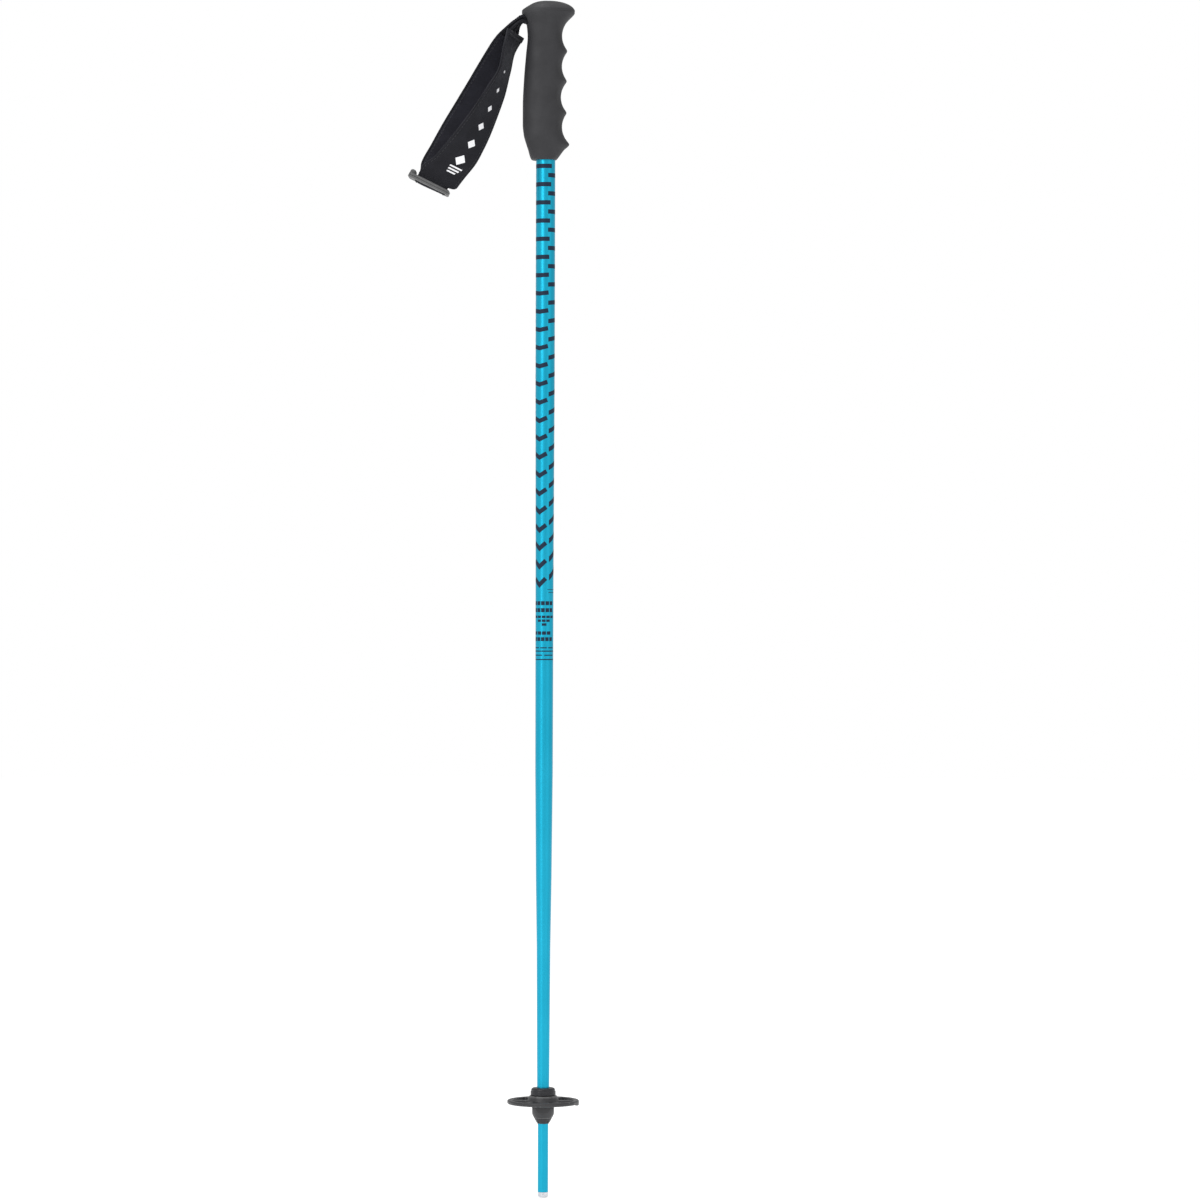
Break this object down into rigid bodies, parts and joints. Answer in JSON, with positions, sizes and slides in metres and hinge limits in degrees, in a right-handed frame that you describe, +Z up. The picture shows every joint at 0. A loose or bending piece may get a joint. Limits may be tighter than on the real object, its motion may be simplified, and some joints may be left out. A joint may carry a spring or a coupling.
{
  "type": "ski pole",
  "caption": "Fixed-length tapered ski pole with a finger-groove grip, a wrist strap loop with a slider, a round windowed basket and a blunt metal tip.",
  "frame": {"origin": "lowest point of the tip, on the shaft's axis", "axes": "+Z up the shaft towards the grip; +X towards the finger grooves; the wrist strap hangs on the -X side"},
  "size_m": [0.1446, 0.06, 1],
  "materials": {
    "shaft_aluminium": "bright blue anodised aluminium, satin gloss",
    "tip_metal": "plain metal, fine turned finish",
    "tip_insert_metal": "hard metal, ground",
    "sleeve_plastic": "black moulded nylon",
    "basket_plastic": "dark grey moulded polyamide",
    "core_nylon": "black glass-filled nylon",
    "grip_rubber": "dark grey soft-touch rubber, matte",
    "steel_hardware": "zinc-plated steel",
    "strap_webbing": "black woven polyester webbing",
    "strap_lining": "dark brushed lining cloth",
    "buckle_plastic": "mid grey moulded acetal"
  },
  "bodies": {
    "pole": {"shaft_tube": "shaft_aluminium", "tube_plug": "core_nylon", "tip_ferrule": "tip_metal", "tip_insert": "tip_insert_metal", "basket_sleeve": "sleeve_plastic", "basket_collet": "sleeve_plastic", "grip_core": "core_nylon", "grip_cover": "grip_rubber", "crown_cap": "grip_rubber", "strap_anchor": "core_nylon", "strap_pin": "steel_hardware", "strap_screw": "steel_hardware", "screw_washer": "steel_hardware", "strap_wedge": "sleeve_plastic", "strap_head_fold": "strap_webbing"},
    "strap_root": {"strap_neck": "strap_webbing"},
    "strap_loop": {"strap_front_panel": "strap_webbing", "strap_back_panel": "strap_webbing", "strap_front_lining": "strap_lining", "strap_back_lining": "strap_lining", "strap_bottom_fold": "strap_webbing", "strap_tail": "strap_webbing"},
    "slider": {"strap_buckle": "buckle_plastic"},
    "basket": {"basket": "basket_plastic"}
  },
  "joints": [
    {"name": "strap_swing", "type": "hinge", "parent": "pole", "child": "strap_root", "pos_m": [-0.0215, 0, 0.984], "axis": [0, 1, 0], "range_deg": [-12, 105], "stiffness_Nm_per_rad": 0.05, "springref_deg": 5.44},
    {"name": "strap_sway", "type": "hinge", "parent": "strap_root", "child": "strap_loop", "pos_m": [-0.0292, 0, 0.9763], "axis": [0.8988, 0, -0.4384], "range_deg": [-30, 30], "stiffness_Nm_per_rad": 0.03, "springref_deg": 0.06},
    {"name": "buckle_tilt", "type": "hinge", "parent": "strap_loop", "child": "slider", "pos_m": [-0.097, 0, 0.8474], "axis": [0.8988, 0, -0.4384], "range_deg": [-18, 18]},
    {"name": "basket_spin", "type": "hinge", "parent": "pole", "child": "basket", "pos_m": [0, 0, 0.076], "axis": [0, 0, 1], "continuous": true}
  ]
}
